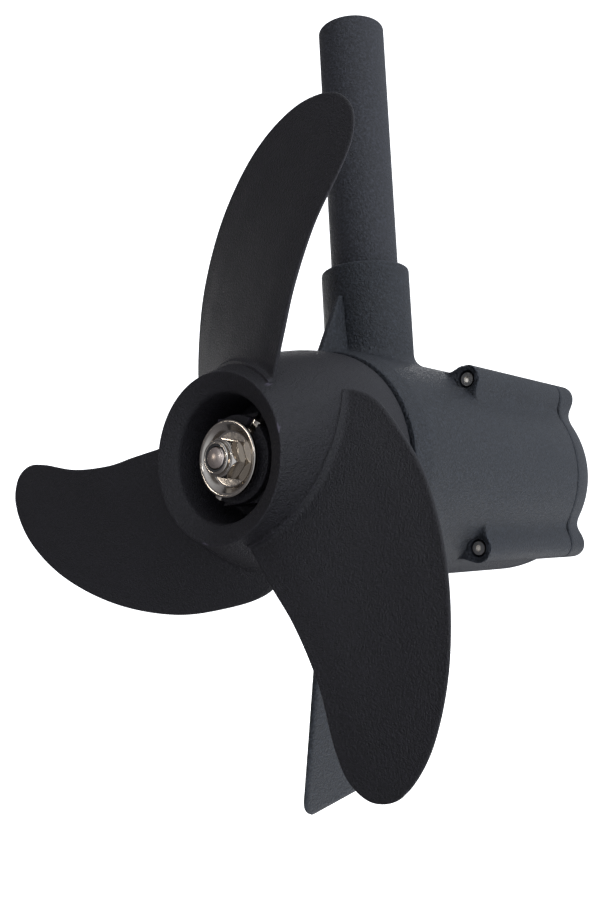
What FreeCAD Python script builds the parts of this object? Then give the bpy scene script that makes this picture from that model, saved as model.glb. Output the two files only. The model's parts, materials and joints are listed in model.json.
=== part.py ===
"""Lower unit of an electric trolling motor: motor pod, propeller, skeg and the foot of the mast.

Modelled in millimetres about the motor: the propeller axis is the X axis, +X points to the nose,
+Y to port and +Z up the mast, whose axis is the Z axis.  Each node is then moved down so that the
part's origin is the centre of the mast's upper end.
"""
import FreeCAD
import Part
import math
import os

from FreeCAD import Vector as V

# Mast
MAST_R = 14.0
MAST_BORE_R = 11.0
MAST_TOP = 190.0
SPIGOT_R = 13.2
SPIGOT_FOOT = 48.0
GROOVE_FOOT = 75.0            # groove of the seal ring in the spigot
GROOVE_TOP = 77.4
GROOVE_DEPTH = 1.2
COLLAR_R = 18.4
COLLAR_TOP = 83.0
SLIP = 0.05                   # radial gap of a slip fit
PRESS = 0.02                  # radial gap left at a pressed joint

# Motor pod
POD_R = 45.0
POD_WALL = 4.0
POD_REAR = -36.0
POD_REAR_R = 43.8             # radius of the rear face, from which the pod swells to POD_R
POD_TAPER = 9.0
POD_EDGE = 0.5                # radius of the edge round the rear face
REAR_WALL = 6.0
STEP_X = 4.0                  # shoulder that the brush plate sits on
SEAM_X = 95.0
NOSE_LENGTH = 48.0
REGISTER_LENGTH = 7.0         # register of the nose cap inside the pod
REGISTER_T = 3.5
RIB_T = 3.0                   # thickness of the ribs inside the nose cap and the hub
LOBE_Y = 33.0
LOBE_Z = 34.6
LOBE_R = 6.0
LOBE_REAR = 20.0
LOBE_NOSE = 12.5              # length of a lobe ahead of the seam before its rounded end
LOBE_COVE = 5.0
SCREW_R = 1.5
SCREW_HEAD_R = 2.75
SCREW_HEAD = 3.0              # height of a screw's head
SCREW_SOCKET = 2.5            # socket across flats
SCREW_SEAT = LOBE_REAR + 4.2
RELIEF_R = 6.4                # pointed relief behind each ridge's rear face
RELIEF_LENGTH = 16.0
SKEG_T = 3.2
COLLAR_COVE = 4.0
COLLAR_EDGE = 1.6

# Shaft line
SHAFT_R = 6.0
SHAFT_TAIL_R = 5.0
SHAFT_FRONT_R = 5.0
SHAFT_SHOULDER = -40.0
THREAD_R = 4.0
THREAD_DEPTH = 0.6
CLIP_GROOVE = 1.2             # width of the retaining ring's groove
CLIP_T = 1.0
THREAD_PITCH = 1.25
THREAD_TOP = -84.4
SHAFT_END = -93.3
SHAFT_FRONT = 108.0
FRONT_SEAT = 100.0
REAR_BEARING = (-24.0, 8.0, 14.0, 6.0, 10.0)      # rear face, width, outer r, bore r, pitch r
FRONT_BEARING = (100.0, 8.0, 13.0, 5.0, 9.0)
BALL_R = 2.3
BALL_GAP = 0.15
BALLS = 8
SEAL_REAR = -35.5
SEAL_WIDTH = 7.0
SEAL_R = 11.0

# Propeller
BLADES = 3
BLADE_STEP = 360.0 / BLADES
BLADE_T = 3.2
HUB_FRONT = -37.6
HUB_EDGE = 0.6                # radius of the hub's front edge
HUB_BOSS_FACE = -82.8
HUB_BOSS_R = 15.5
BOSS_FLAT_Y = 10.5            # half width of the boss's flats
BOSS_FLAT_Z = 15.4            # height of the flats above the axis
BOSS_FLAT_SET = 3.0           # how far the flats stop ahead of the boss's face
RECESS_R = 22.0
RECESS_FLOOR = -66.0
HUB_WEB = 4.0
PIN_R = 2.4
PIN_LENGTH = 33.0
PIN_TILT = 39.0               # turn of the drive pin from upright, top to starboard
PIN_SLOT_REACH = 18.5
WASHER_R = 13.5
WASHER_T = 1.5
WASHER_FLOOR_R = 9.6
WASHER_RIM = -87.0
NUT_AF = 13.0
NUT_HEX = 6.2
NUT_COLLAR = 1.8
NUT_COLLAR_R = 5.9
NUT_TURN = -15.0              # turn of the nut's corners from upright
INSERT_R = 5.0
INSERT_DEPTH = 1.2            # how far the nylon ring reaches into the hexagon

# Motor and brushes
MAGNET_REAR = 28.0
MAGNET_FRONT = 83.0
MAGNET_R = 37.2
MAGNET_T = 6.0
MAGNET_ARC = 136.0
FLUX_T = 3.5
CORE_REAR = 30.0
CORE_FRONT = 82.0
CORE_R = 30.4
SLOTS = 12
COMM_R = 12.0
COMM_REAR = 8.0
COMM_FRONT = 23.0
BRUSH_SIDE = 8.0
BRUSH_X = 15.5
BRUSH_OUT = 26.0
HOLDER_OUT = 36.0
PLATE_T = 3.0
RIVET_R = 1.5
RIVET_HEAD_R = 2.6
RIVET_HEAD = 0.8
RIVET_Y = 31.0
RIVET_Z = 8.0
FOOT_T = 1.2                  # thickness of the brush holder's feet
WINDOW_R = 9.2                # opening in the brush plate for the leads' grommet
LEAD_HOLE_R = 9.0             # opening between the pod and the mast
LEAD_R = 2.0
LEAD_X = -3.0
LEAD_Y = 3.5
LEAD_START_Y = 25.0

X_AXIS = V(1, 0, 0)
Z_AXIS = V(0, 0, 1)
ORIGIN = V(0, 0, 0)


def save(name, shape):
    """Move a shape from motor coordinates to the part's frame and write it."""
    placed = shape.copy()
    placed.translate(V(0, 0, -MAST_TOP))
    placed.exportStep("parts/" + name + ".step")


def rod(r, x0, x1, y=0.0, z=0.0):
    return Part.makeCylinder(r, x1 - x0, V(x0, y, z), X_AXIS)


def ring(outer, inner, x0, x1):
    return rod(outer, x0, x1).cut(rod(inner, x0 - 1, x1 + 1))


def post(r, z0, z1, x=0.0, y=0.0):
    return Part.makeCylinder(r, z1 - z0, V(x, y, z0), Z_AXIS)


def block(x0, x1, y0, y1, z0, z1):
    return Part.makeBox(x1 - x0, y1 - y0, z1 - z0, V(x0, y0, z0))


def turned(edges):
    """Solid of revolution about the X axis of a closed outline in the XZ plane."""
    face = Part.Face(Part.Wire(Part.__sortEdges__(edges)))
    return face.revolve(ORIGIN, X_AXIS, 360)


def line(a, b):
    return Part.makeLine(V(a[0], 0, a[1]), V(b[0], 0, b[1]))


def arc(a, mid, b):
    return Part.Arc(V(a[0], 0, a[1]), V(mid[0], 0, mid[1]), V(b[0], 0, b[1])).toShape()


def curve(points):
    spline = Part.BSplineCurve()
    spline.interpolate([V(x, 0, z) for x, z in points])
    return spline.toShape()


def polyline(points):
    return [line(a, b) for a, b in zip(points, points[1:])]


def turned_polygon(points):
    return turned(polyline(points + points[:1]))


def about_x(shape, degrees):
    turned_shape = shape.copy()
    turned_shape.rotate(ORIGIN, X_AXIS, degrees)
    return turned_shape


def fuse_all(shapes):
    return shapes[0].multiFuse(shapes[1:]).removeSplitter()


def mirrored(shape):
    """The same piece on the other side of the mid-plane."""
    return shape.mirror(ORIGIN, V(0, 1, 0))


# ---------------------------------------------------------------- mast

def mast_tube():
    """Composite tube with a turned-down spigot that is bonded into the pod's collar."""
    tube = post(MAST_R, COLLAR_TOP, MAST_TOP).fuse(post(SPIGOT_R, SPIGOT_FOOT, COLLAR_TOP))
    groove = post(SPIGOT_R + 1, GROOVE_FOOT, GROOVE_TOP)
    groove = groove.cut(post(SPIGOT_R - GROOVE_DEPTH, GROOVE_FOOT - 1, GROOVE_TOP + 1))
    return tube.cut(post(MAST_BORE_R, SPIGOT_FOOT - 1, MAST_TOP + 1)).cut(groove)


def mast_seal_ring():
    """Rubber ring in the spigot's groove, pressed flat by the collar's bore."""
    section = 1.05
    middle = (GROOVE_FOOT + GROOVE_TOP) / 2
    wall = post(SPIGOT_R + 2, GROOVE_FOOT - 1, GROOVE_TOP + 1).cut(
        post(SPIGOT_R + SLIP, GROOVE_FOOT - 2, GROOVE_TOP + 2))
    return Part.makeTorus(SPIGOT_R - 0.1, section, V(0, 0, middle), Z_AXIS).cut(wall)


# ---------------------------------------------------------------- pod

def lobe_centres():
    return [(y, z) for y in (LOBE_Y, -LOBE_Y) for z in (LOBE_Z, -LOBE_Z)]


def lobe(y, z, x0, x1, r):
    """A round ridge along the pod, filled in towards the axis."""
    ridge = rod(r, x0, x1, y, z)
    web = block(x0, x1, -r * 0.92, r * 0.92, POD_R - 3, math.hypot(y, z))
    return ridge.fuse(about_x(web, math.degrees(math.atan2(-y, z))))


def pod_barrel():
    """Round body with a softened rear edge and four ridges that flow into it."""
    inset = POD_EDGE * (1 - math.sqrt(0.5))
    body = turned([
        line((POD_REAR, 0), (POD_REAR, POD_REAR_R - POD_EDGE)),
        arc((POD_REAR, POD_REAR_R - POD_EDGE), (POD_REAR + inset, POD_REAR_R - inset),
            (POD_REAR + POD_EDGE, POD_REAR_R)),
        line((POD_REAR + POD_EDGE, POD_REAR_R), (POD_REAR + POD_TAPER, POD_R)),
        line((POD_REAR + POD_TAPER, POD_R), (SEAM_X, POD_R)),
        line((SEAM_X, POD_R), (SEAM_X, 0)),
        line((SEAM_X, 0), (POD_REAR, 0)),
    ])
    barrel = fuse_all([body] + [rod(LOBE_R, LOBE_REAR, SEAM_X, y, z) for y, z in lobe_centres()])
    valleys = [e for e in barrel.Edges if e.BoundBox.XLength > 70 and abs(e.BoundBox.YMin) > 1
               and e.BoundBox.YLength < 0.01 and e.BoundBox.ZLength < 0.01]
    return barrel.makeFillet(LOBE_COVE, valleys)


def pod_outside():
    """Barrel and collar in one casting, with a cove where they meet and a softened top edge."""
    pod = fuse_all([pod_barrel(), post(COLLAR_R, POD_R - 8, COLLAR_TOP)])
    foot = [e for e in pod.Edges if e.BoundBox.ZMin > 40 and e.BoundBox.ZMax < POD_R + 0.5
            and e.BoundBox.XLength > COLLAR_R and e.BoundBox.XMax < COLLAR_R + 0.5]
    pod = pod.makeFillet(COLLAR_COVE, foot)
    return pod.makeFillet(COLLAR_EDGE, [e for e in pod.Edges if e.BoundBox.ZMin > COLLAR_TOP - 0.1])


def gusset():
    """Wedge that braces the back of the collar, wide at the collar and thin at its free edge."""
    apex_z = 69.5
    foot_x = -34.5
    foot_z = POD_R - 4
    thin = 1.1
    wide = 3.4
    free_edge = [V(-COLLAR_R - 1, thin, apex_z), V(foot_x, thin, foot_z)]
    root = [V(-COLLAR_R + 5, thin, apex_z), V(-COLLAR_R + 5, wide, foot_z)]
    port = [free_edge[0], free_edge[1], root[1], root[0]]
    starboard = [V(p.x, -p.y, p.z) for p in port]
    faces = [port, starboard]
    for i in range(len(port)):
        j = (i + 1) % len(port)
        faces.append([port[i], port[j], starboard[j], starboard[i]])
    triangles = []
    for corners in faces:
        for k in range(1, len(corners) - 1):
            outline = [corners[0], corners[k], corners[k + 1], corners[0]]
            triangles.append(Part.Face(Part.makePolygon(outline)))
    return Part.makeSolid(Part.makeShell(triangles))


def skeg():
    """Flat fin below the pod with a slanting leading edge and rounded lower corners."""
    corner = 5.0
    points = [(-35.4, -POD_R + 4), (-56.0, -126.3), (-22.5, -123.0), (6.0, -72.0), (40.0, -POD_R + 2)]
    outline = Part.makePolygon([V(x, -SKEG_T / 2, z) for x, z in points + points[:1]])
    plate = Part.Face(outline).extrude(V(0, SKEG_T, 0))
    low = [e for e in plate.Edges if e.BoundBox.YLength > 1 and e.BoundBox.ZMax < -100]
    return plate.makeFillet(corner, low)


def pod_inside():
    """Everything that is hollow in the pod: motor space, seats, lead hole and mast socket."""
    seat_rear, width, outer, _, _ = REAR_BEARING
    bore_r = POD_R - POD_WALL
    motor_space = rod(bore_r, STEP_X, SEAM_X + 1)
    rear_space = ring(bore_r - 3, outer + 5, POD_REAR + REAR_WALL, STEP_X)
    rear_space = rear_space.fuse(rod(bore_r - 3, seat_rear + width, STEP_X))
    bearing_seat = rod(outer + PRESS, seat_rear, seat_rear + width + 1)
    shaft_hole = rod(SHAFT_R + 1.5, POD_REAR - 1, seat_rear + 1)
    seal_seat = rod(SEAL_R + PRESS, POD_REAR - 1, SEAL_REAR + SEAL_WIDTH)
    lead_hole = post(LEAD_HOLE_R, 30.0, SPIGOT_FOOT + 1)
    socket = post(SPIGOT_R + SLIP, SPIGOT_FOOT, COLLAR_TOP + 1)
    return [motor_space, rear_space, bearing_seat, shaft_hole, seal_seat, lead_hole, socket]


def screw_space(y, z):
    """Through hole, counterbore and the pointed relief that lets a key reach the screw."""
    hole = rod(SCREW_R + 0.15, LOBE_REAR - 1, SEAM_X + 1, y, z)
    counterbore = rod(SCREW_HEAD_R + 0.95, LOBE_REAR - 1, SCREW_SEAT, y, z)
    relief_point = V(LOBE_REAR - RELIEF_LENGTH, y, z)
    relief = Part.makeCone(0, RELIEF_R, RELIEF_LENGTH, relief_point, X_AXIS)
    return hole.fuse(counterbore).fuse(relief)


def motor_housing():
    """Pod casting with the mast's collar, the gusset and the skeg."""
    outside = fuse_all([pod_outside(), gusset(), skeg()])
    spaces = pod_inside() + [screw_space(y, z) for y, z in lobe_centres()]
    return outside.cut(spaces)


def nose_cap():
    """Domed front cover with four lobes, a register, ribs and the front bearing seat."""
    dome = turned([
        line((SEAM_X, 0), (SEAM_X, POD_R)),
        quarter_ellipse(SEAM_X, NOSE_LENGTH, POD_R),
        line((SEAM_X + NOSE_LENGTH, 0), (SEAM_X, 0)),
    ])
    hollow = turned([
        line((SEAM_X, 0), (SEAM_X, POD_R - POD_WALL)),
        quarter_ellipse(SEAM_X, NOSE_LENGTH - POD_WALL, POD_R - POD_WALL),
        line((SEAM_X + NOSE_LENGTH - POD_WALL, 0), (SEAM_X, 0)),
    ])
    seat_x, width, outer, _, _ = FRONT_BEARING
    shell = dome.cut(hollow)
    cup = rod(outer + 4, seat_x - 1, seat_x + width + 5)
    rib = block(seat_x + 2, SEAM_X + NOSE_LENGTH, -RIB_T / 2, RIB_T / 2, 0, POD_R)
    ribs = [about_x(rib, 45 + 90 * i) for i in range(4)]
    inner = fuse_all([cup] + ribs).common(hollow)
    bore_r = POD_R - POD_WALL
    register = ring(bore_r - SLIP, bore_r - REGISTER_T, SEAM_X - REGISTER_LENGTH, SEAM_X)
    groove = ring(POD_R, bore_r - 1.6, SEAM_X - 4.6, SEAM_X - 2.4)
    collar_ring = ring(POD_R - 0.5, bore_r - REGISTER_T, SEAM_X, SEAM_X + 4)
    lobes = [nose_lobe(y, z) for y, z in lobe_centres()]
    cap = fuse_all([shell, inner, register.cut(groove), collar_ring] + lobes)
    seat = rod(outer + PRESS, seat_x - 2, seat_x + width + 1.4)
    screw_holes = [rod(SCREW_R + SLIP, SEAM_X - 1, SEAM_X + 9, y, z) for y, z in lobe_centres()]
    return cap.cut([seat] + screw_holes)


def quarter_ellipse(x0, length, radius):
    """Quarter ellipse from (x0, radius) to (x0 + length, 0)."""
    steps = 8
    points = [(x0 + length * math.sin(math.pi / 2 * i / steps),
               radius * math.cos(math.pi / 2 * i / steps)) for i in range(steps + 1)]
    return curve(points)


def nose_lobe(y, z):
    """A lobe's forward end: a short ridge that closes in a ball and runs into the dome."""
    x1 = SEAM_X + LOBE_NOSE
    outer = lobe(y, z, SEAM_X, x1, LOBE_R)
    end = Part.makeSphere(LOBE_R, V(x1, y, z))
    inward = Part.makeSphere(LOBE_R, V(x1, y * 0.8, z * 0.8))
    keep = ring(POD_R * 2, POD_R - POD_WALL - REGISTER_T, SEAM_X, SEAM_X + 40)
    return fuse_all([outer, end, inward]).common(keep)


def nose_seal_ring():
    """Rubber ring in the register's groove, pressed flat by the pod's bore."""
    section = 1.15
    middle = POD_R - POD_WALL - 0.4
    wall = ring(POD_R, POD_R - POD_WALL - SLIP, SEAM_X - 6, SEAM_X)
    return Part.makeTorus(middle - 0.1, section - 0.1, V(SEAM_X - 3.5, 0, 0), X_AXIS).cut(wall)


def housing_screws():
    """Long socket-head screws that draw the nose cap onto the pod."""
    top = SCREW_SEAT - SCREW_HEAD
    screws = []
    for y, z in lobe_centres():
        head = rod(SCREW_HEAD_R, top, SCREW_SEAT, y, z)
        socket = hexagon(SCREW_SOCKET, top - 0.1, top + 1.6, y, z)
        screws.append(head.fuse(rod(SCREW_R, SCREW_SEAT, SEAM_X + 8, y, z)).cut(socket))
    return Part.makeCompound(screws)


def hexagon(across_flats, x0, x1, y=0.0, z=0.0):
    r = across_flats / math.sqrt(3)
    corners = [V(x0, y + r * math.sin(math.radians(60 * i)), z + r * math.cos(math.radians(60 * i)))
               for i in range(7)]
    return Part.Face(Part.makePolygon(corners)).extrude(V(x1 - x0, 0, 0))


# ---------------------------------------------------------------- bearings and seal

def bearing(place):
    """Outer ring, balls and inner ring of a deep-groove ball bearing."""
    x0, width, outer, bore, pitch = place
    middle = x0 + width / 2
    track = Part.makeTorus(pitch, BALL_R + BALL_GAP, V(middle, 0, 0), X_AXIS)
    outer_ring = ring(outer, pitch + 1.3, x0, x0 + width).cut(track)
    inner_ring = ring(pitch - 1.3, bore + PRESS, x0, x0 + width).cut(track)
    balls = []
    for i in range(BALLS):
        a = 2 * math.pi * i / BALLS
        balls.append(Part.makeSphere(BALL_R, V(middle, pitch * math.cos(a), pitch * math.sin(a))))
    return outer_ring, Part.makeCompound(balls), inner_ring


def preload_washer():
    """Spring washer between the front bearing's outer ring and the nose cap."""
    x0, width, outer, _, pitch = FRONT_BEARING
    return ring(outer - 0.3, pitch + 1.6, x0 + width + 0.1, x0 + width + 1.1)


def shaft_seal():
    """Rubber lip seal pressed into the pod's rear face."""
    x0 = SEAL_REAR
    x1 = SEAL_REAR + SEAL_WIDTH
    lip = SHAFT_R + 0.08
    return turned_polygon([(x0, SEAL_R), (x1, SEAL_R), (x1, SEAL_R - 1.5), (x0 + 2, SEAL_R - 1.5),
                           (x0 + 2, lip + 1.8), (x1 - 1, lip + 1.2), (x1 - 1.5, lip), (x0, lip + 0.8)])


def retaining_ring():
    """Open spring ring that keeps the rear bearing on the shaft."""
    x0 = REAR_BEARING[0] + REAR_BEARING[1] + 0.1
    clip = ring(SHAFT_R + 2.6, SHAFT_R - 0.45, x0, x0 + CLIP_T)
    return clip.cut(block(x0 - 1, x0 + 2, -2, 2, -SHAFT_R - 4, 0))


# ---------------------------------------------------------------- rotor

def motor_shaft():
    """Stepped shaft with a threaded tail; the thread is drawn as rings."""
    clip_x = REAR_BEARING[0] + REAR_BEARING[1]
    profile = [(SHAFT_FRONT, 0), (SHAFT_FRONT, SHAFT_FRONT_R), (FRONT_SEAT, SHAFT_FRONT_R),
               (FRONT_SEAT, SHAFT_R), (clip_x + CLIP_GROOVE, SHAFT_R),
               (clip_x + CLIP_GROOVE, SHAFT_R - 0.5),
               (clip_x, SHAFT_R - 0.5), (clip_x, SHAFT_R), (SHAFT_SHOULDER, SHAFT_R),
               (SHAFT_SHOULDER, SHAFT_TAIL_R), (HUB_BOSS_FACE, SHAFT_TAIL_R),
               (HUB_BOSS_FACE, THREAD_R), (THREAD_TOP, THREAD_R)]
    turns = int((THREAD_TOP - SHAFT_END - 1) / THREAD_PITCH)
    for i in range(turns):
        crest = THREAD_TOP - i * THREAD_PITCH
        profile.append((crest - THREAD_PITCH / 2, THREAD_R - THREAD_DEPTH))
        profile.append((crest - THREAD_PITCH, THREAD_R))
    profile.append((SHAFT_END, THREAD_R - 0.8))
    profile.append((SHAFT_END, 0))
    pin_hole = post(PIN_R + SLIP, -SHAFT_R - 1, SHAFT_R + 1, pin_x())
    return turned_polygon(profile).cut(about_x(pin_hole, PIN_TILT))


def pin_x():
    return HUB_BOSS_FACE + PIN_R + 0.2


def armature_core():
    """Slotted steel stack, pressed on the shaft."""
    core = ring(CORE_R, SHAFT_R + PRESS, CORE_REAR, CORE_FRONT)
    return core.cut([about_x(s, 360.0 / SLOTS * i) for i in range(SLOTS) for s in slot_shapes(0.0)])


def slot_shapes(inset):
    """Winding space of one slot and its narrow mouth."""
    x0 = CORE_REAR - 1 if inset == 0 else CORE_REAR - 3
    x1 = CORE_FRONT + 1 if inset == 0 else CORE_FRONT + 3
    pocket = rod(3.6 - inset, x0, x1, 0, CORE_R - 6.4)
    deep = rod(2.4 - inset, x0, x1, 0, CORE_R - 10.5)
    mouth = block(x0, x1, -0.9, 0.9, CORE_R - 4, CORE_R + 1)
    return [pocket, deep, mouth] if inset == 0 else [pocket, deep]


def armature_windings():
    """Copper in the slots with the rounded end turns on both faces."""
    rear = end_turns(CORE_REAR, -1)
    front = end_turns(CORE_FRONT, 1)
    bars = [about_x(s, 360.0 / SLOTS * i) for i in range(SLOTS) for s in slot_shapes(0.25)]
    return fuse_all([rear, front] + bars)


def end_turns(face, side):
    x0 = face + side * 0.3
    x1 = face + side * 6.0
    return turned([
        line((x0, 12.5), (x0, 27.5)),
        arc((x0, 27.5), (x1 - side * 1.2, 26.0), (x1, 22.0)),
        line((x1, 22.0), (x1, 14.5)),
        line((x1, 14.5), (x0, 12.5)),
    ])


def commutator():
    """Copper bars on an insulating sleeve, cut by a slot between each pair of bars."""
    sleeve = ring(COMM_R, SHAFT_R + PRESS, COMM_REAR, COMM_FRONT)
    riser = ring(COMM_R + 1.8, COMM_R - 2, COMM_FRONT - 1.8, COMM_FRONT)
    slot = block(COMM_REAR - 1, COMM_FRONT + 1, -0.3, 0.3, COMM_R - 0.9, COMM_R + 3)
    return fuse_all([sleeve, riser]).cut([about_x(slot, 360.0 / SLOTS * (i + 0.5)) for i in range(SLOTS)])


# ---------------------------------------------------------------- propeller

# Outer surface of the hub from its front edge to the rounded rear lip, as (x, radius).
HUB_OUTSIDE = [(-38.2, 42.8), (-54.0, 41.7), (-63.0, 39.6), (-72.0, 36.9), (-84.0, 32.9), (-91.2, 29.9)]
HUB_SHELL = 4.0
LIP_TOP = (-92.1, 29.3)       # rounded rear lip of the hub, from its outer to its inner edge
LIP_IN = (-92.1, 28.6)
MOUTH_OUT = (-88.9, 22.3)     # where the lip's dish meets the recess
MOUTH_IN = -87.4
HUB_SLEEVE_R = 12.5           # outer radius of the sleeve ahead of the web

# One blade's outline as (radius, degrees up from starboard), from the trailing root round the tip.
BLADE_OUTLINE = [(28.0, -76.0), (47.0, -67.0), (63.0, -63.5), (83.0, -63.0), (102.0, -64.6),
                 (113.0, -64.3), (121.0, -61.6), (123.4, -56.5), (117.7, -48.7), (105.0, -38.6),
                 (88.0, -25.8), (71.0, -10.7), (56.4, 5.5), (46.5, 21.5), (36.0, 36.5)]


def blade_x(r, theta):
    """Height of the blade's mid-surface along the shaft, for theta in radians."""
    s = (r - 35.0) / 100.0
    u = theta + 0.6
    return -80.4 + 9.3 * s - 17.7 * s * s + (10.6 + 40.1 * s - 46.4 * s * s) * u + 3.1 * u * u


def polar(r, theta, x=0.0):
    return V(x, -r * math.cos(theta), r * math.sin(theta))


def blade_slab():
    """Curved plate of even thickness that holds the whole blade."""
    radii = [22.0 + 9.0 * i for i in range(13)]
    angles = [math.radians(-95.0 + 12.0 * j) for j in range(13)]
    grid = [[polar(r, t, blade_x(r, t) - BLADE_T / 2) for t in angles] for r in radii]
    surface = Part.BSplineSurface()
    surface.interpolate(grid)
    return surface.toShape().extrude(V(BLADE_T, 0, 0))


def blade():
    """One blade: its outline drawn through the curved plate."""
    edge = Part.BSplineCurve()
    edge.interpolate([polar(r, math.radians(d), -130.0) for r, d in BLADE_OUTLINE])
    root = Part.makeLine(edge.EndPoint, edge.StartPoint)
    prism = Part.Face(Part.Wire([edge.toShape(), root])).extrude(V(110, 0, 0))
    return prism.common(blade_slab()).cut(hub_core())


def hub_core():
    """Inside of the hub shell's middle layer, which the blade roots don't enter."""
    inside = [(x, r - HUB_SHELL / 2) for x, r in HUB_OUTSIDE]
    rear = (-100.0, inside[-1][1] - 3)
    front = (-30.0, inside[0][1])
    return turned([curve(inside), line(inside[-1], rear), line(rear, (rear[0], 0)),
                   line((rear[0], 0), (front[0], 0)), line((front[0], 0), front), line(front, inside[0])])


def hub_body():
    """Double-walled hub: outer shell, dished lip, recess around the nut, centre boss and web."""
    boss_front = SHAFT_SHOULDER - 0.1
    bore = SHAFT_TAIL_R + SLIP
    tube_r = RECESS_R + 3.6
    web_front = RECESS_FLOOR + HUB_WEB
    shell = [(HUB_FRONT, 38.4), (-54.0, 37.7), (-63.0, 35.6), (-72.0, 32.9), (-81.0, 29.8)]
    edge_low = (HUB_FRONT, HUB_OUTSIDE[0][1] - HUB_EDGE)
    inset = HUB_EDGE * (1 - math.sqrt(0.5))
    edge_middle = (HUB_FRONT - inset, HUB_OUTSIDE[0][1] - inset)
    return turned([
        arc(edge_low, edge_middle, HUB_OUTSIDE[0]),
        curve(HUB_OUTSIDE),
        arc(HUB_OUTSIDE[-1], LIP_TOP, LIP_IN),
        line(LIP_IN, MOUTH_OUT),
        line(MOUTH_OUT, (MOUTH_IN, RECESS_R)),
        line((MOUTH_IN, RECESS_R), (RECESS_FLOOR, RECESS_R)),
        line((RECESS_FLOOR, RECESS_R), (RECESS_FLOOR, HUB_BOSS_R)),
        line((RECESS_FLOOR, HUB_BOSS_R), (HUB_BOSS_FACE, HUB_BOSS_R)),
        line((HUB_BOSS_FACE, HUB_BOSS_R), (HUB_BOSS_FACE, bore)),
        line((HUB_BOSS_FACE, bore), (boss_front, bore)),
        line((boss_front, bore), (boss_front, HUB_SLEEVE_R)),
        line((boss_front, HUB_SLEEVE_R), (web_front, HUB_SLEEVE_R)),
        line((web_front, HUB_SLEEVE_R), (web_front, tube_r)),
        line((web_front, tube_r), (shell[-1][0], tube_r)),
        line((shell[-1][0], tube_r), shell[-1]),
        curve(shell),
        line(shell[0], edge_low),
    ])


def hub_ribs():
    """Ribs in the front of the hub, from the boss to the shell."""
    limit = hub_core()
    rear = -82.0
    front = HUB_FRONT - 3
    cavity = rod(60, rear, front).cut(rod(HUB_SLEEVE_R - 1.5, rear - 1, front + 1)).cut(
        rod(RECESS_R + 1, rear - 1, RECESS_FLOOR + HUB_WEB - 1))
    ribs = [about_x(block(rear, front, -RIB_T / 2, RIB_T / 2, 0, 60), 60 * i) for i in range(6)]
    return [rib.common(cavity).common(limit) for rib in ribs]


def boss_flats():
    """Block that gives the boss level flats above and below."""
    rear = HUB_BOSS_FACE + BOSS_FLAT_SET
    front = RECESS_FLOOR + 1
    flats = block(rear, front, -BOSS_FLAT_Y, BOSS_FLAT_Y, -BOSS_FLAT_Z, BOSS_FLAT_Z)
    return flats.cut(rod(HUB_BOSS_R - 3, rear - 1, front + 1))


def propeller():
    """Hub and blades in one moulding, with the drive pin's slot across the boss."""
    blades = [about_x(blade(), BLADE_STEP * i) for i in range(BLADES)]
    whole = fuse_all([hub_body(), boss_flats()] + hub_ribs() + blades)
    half = PIN_R + 0.1
    pin_slot = block(HUB_BOSS_FACE - 1, pin_x(), -half, half, -PIN_SLOT_REACH, PIN_SLOT_REACH)
    pin_round = post(half, -PIN_SLOT_REACH, PIN_SLOT_REACH, pin_x())
    return whole.cut(about_x(pin_slot.fuse(pin_round), PIN_TILT))


def drive_pin():
    pin = post(PIN_R, -PIN_LENGTH / 2, PIN_LENGTH / 2, pin_x())
    rims = [e for e in pin.Edges if e.BoundBox.ZLength < 0.1]
    return about_x(pin.makeChamfer(0.5, rims), PIN_TILT)


def prop_washer():
    """Dished washer: a flat floor under the nut and a rim that stands aft of it."""
    front = HUB_BOSS_FACE - SLIP
    rear = front - WASHER_T
    bore = THREAD_R + 0.2
    return turned_polygon([
        (front, bore), (front, WASHER_FLOOR_R + 0.4), (WASHER_RIM + 1.5, WASHER_R),
        (WASHER_RIM + 0.4, WASHER_R), (WASHER_RIM, WASHER_R - 0.4), (WASHER_RIM, WASHER_R - 1.1),
        (rear, WASHER_FLOOR_R), (rear, bore)])


def nut_rear():
    """Place of the hexagon's rear face, where the collar starts."""
    return HUB_BOSS_FACE - WASHER_T - 2 * SLIP - NUT_HEX


def prop_nut():
    """Locking nut: hexagon with chamfered corners and a round collar for the nylon ring."""
    rear = nut_rear()
    front = rear + NUT_HEX
    end = rear - NUT_COLLAR
    corner_r = NUT_AF / math.sqrt(3)
    body = about_x(hexagon(NUT_AF, rear, front), NUT_TURN)
    rear_taper = Part.makeCone(NUT_AF / 2, corner_r + 3.0, NUT_HEX, V(rear, 0, 0), X_AXIS)
    front_taper = Part.makeCone(corner_r + 3.0, NUT_AF / 2, NUT_HEX, V(rear, 0, 0), X_AXIS)
    body = body.common(rear_taper).common(front_taper)
    collar = rod(NUT_COLLAR_R, end, rear)
    collar = collar.makeFillet(0.5, [e for e in collar.Edges if e.BoundBox.XMax < end + 0.1])
    groove = rod(INSERT_R, end + 0.3, rear + INSERT_DEPTH)
    mouth = rod(INSERT_R - 0.25, end - 1, rear)
    return body.fuse(collar).cut([groove, mouth, rod(THREAD_R + SLIP, end - 1, front + 1)])


def nut_insert():
    """Nylon ring that grips the thread."""
    rear = nut_rear()
    return ring(INSERT_R - PRESS, THREAD_R + SLIP, rear - NUT_COLLAR + 0.35, rear + INSERT_DEPTH - 0.05)


# ---------------------------------------------------------------- stator and brushes

def flux_ring():
    outer = POD_R - POD_WALL - 0.1
    return ring(outer, outer - FLUX_T, STEP_X + PLATE_T, SEAM_X - REGISTER_LENGTH)


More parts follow.
